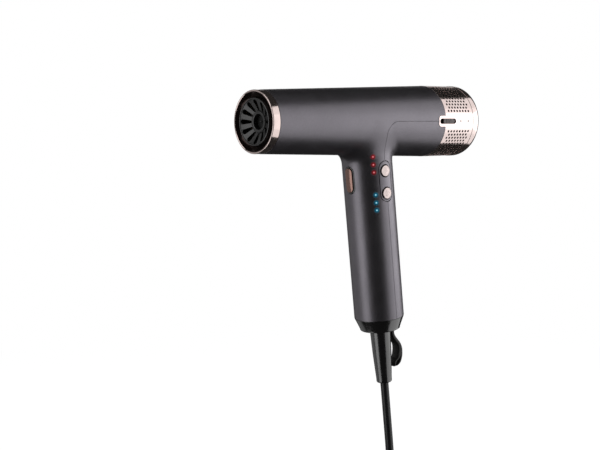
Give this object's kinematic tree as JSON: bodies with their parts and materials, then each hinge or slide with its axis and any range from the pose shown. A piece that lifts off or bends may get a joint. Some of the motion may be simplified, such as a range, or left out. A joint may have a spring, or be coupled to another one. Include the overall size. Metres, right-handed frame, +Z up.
{
  "type": "hair dryer",
  "caption": "Handheld hair dryer: tapered barrel with grilled outlet, perforated pull-off inlet cover, leaning round grip with push buttons, hanging loop and mains cord.",
  "frame": {"origin": "middle of the grip, on the handle's axis, where a hand or a holder takes it", "axes": "+Z up, -Y the way the air leaves the barrel, +X the side with the two round buttons; YZ is the plane of symmetry"},
  "size_m": [0.1042, 0.2573, 0.3699],
  "materials": {
    "grey_shell": "satin anthracite lacquer, slightly metallic",
    "rose_gold": "polished rose-gold plating",
    "black_gloss": "semi-gloss black plastic",
    "black_matte": "matte black plastic",
    "button_gold": "turned rose-gold cap",
    "red_light": "glowing red lens",
    "blue_light": "glowing blue lens",
    "steel": "ground steel",
    "aluminium": "milled aluminium",
    "copper": "enamelled copper wire",
    "magnet": "sintered magnet",
    "mica": "mica board",
    "ceramic": "glazed ceramic",
    "resistance_wire": "oxidised heating wire",
    "circuit_board": "green solder resist",
    "mesh": "dark woven mesh",
    "rubber": "soft black rubber",
    "cord_jacket": "smooth black cord jacket",
    "strap": "supple black strap",
    "capacitor_sleeve": "shrunk sleeve",
    "lead_red": "insulated lead",
    "lead_white": "glass-fibre sleeve",
    "lead_blue": "insulated lead",
    "nickel": "nickel-plated brass"
  },
  "bodies": {
    "housing": {"front_housing": "grey_shell", "rear_cover": "grey_shell", "outlet_ring": "rose_gold", "outlet_grille": "black_matte", "ion_holder": "black_matte", "ion_needle": "steel", "heater_duct": "ceramic", "mica_frame": "mica", "heating_wire": "resistance_wire", "thermostat": "ceramic", "thermal_fuse": "steel", "air_guide": "black_matte", "motor_sleeve": "rubber", "motor_shroud": "black_matte", "bearings": "steel", "stator_core": "steel", "stator_windings": "copper", "motor_board": "circuit_board", "inlet_collar": "black_matte", "button_panel": "grey_shell", "cool_shot_bezel": "black_gloss", "control_board": "circuit_board", "button_switches": "black_matte", "cool_shot_switch": "black_matte", "red_light_pipes": "red_light", "blue_light_pipes": "blue_light", "power_board": "circuit_board", "main_capacitor": "capacitor_sleeve", "motor_leads": "lead_red", "heater_leads": "lead_white", "mains_leads": "lead_blue", "handle_end_cap": "black_gloss", "cord_clamp": "black_matte", "clamp_screws": "steel", "inner_lead": "cord_jacket", "strain_relief": "black_gloss", "cord": "cord_jacket", "cord_coil": "cord_jacket", "cord_tail": "cord_jacket", "coil_tie": "strap", "plug_body": "black_gloss", "plug_pins": "nickel"},
    "rotor": {"rotor_shaft": "steel", "rotor_magnet": "magnet", "impeller": "aluminium"},
    "filter": {"filter_cover": "rose_gold", "filter_mesh": "mesh", "cover_end_ring": "rose_gold", "cover_end_disc": "black_gloss"},
    "latch": {"cover_latch": "black_matte"},
    "temperature_key": {"temperature_button": "button_gold"},
    "speed_key": {"speed_button": "button_gold"},
    "cool_shot_key": {"cool_shot_button": "button_gold"},
    "loop": {"hang_loop": "strap"}
  },
  "joints": [
    {"name": "fan_spin", "type": "hinge", "parent": "housing", "child": "rotor", "pos_m": [0, 0.01868, 0.09936], "axis": [0, 1, 0], "continuous": true},
    {"name": "cover_pull", "type": "slide", "parent": "housing", "child": "filter", "axis": [0, 1, 0], "range_m": [0, 0.02]},
    {"name": "latch_slide", "type": "slide", "parent": "filter", "child": "latch", "axis": [0, -1, 0], "range_m": [0, 0.0025]},
    {"name": "temperature_press", "type": "slide", "parent": "housing", "child": "temperature_key", "axis": [-1, 0, 0], "range_m": [0, 0.0008], "stiffness_N_per_m": 400, "springref_m": -0.002},
    {"name": "speed_press", "type": "slide", "parent": "housing", "child": "speed_key", "axis": [-1, 0, 0], "range_m": [0, 0.0008], "stiffness_N_per_m": 400, "springref_m": -0.002},
    {"name": "cool_shot_press", "type": "slide", "parent": "housing", "child": "cool_shot_key", "axis": [0, 0.9936, 0.1132], "range_m": [0, 0.0015], "stiffness_N_per_m": 400, "springref_m": -0.002},
    {"name": "loop_swing", "type": "hinge", "parent": "housing", "child": "loop", "pos_m": [0, 0.01956, -0.07185], "axis": [1, 0, 0], "range_deg": [0, 45]}
  ]
}
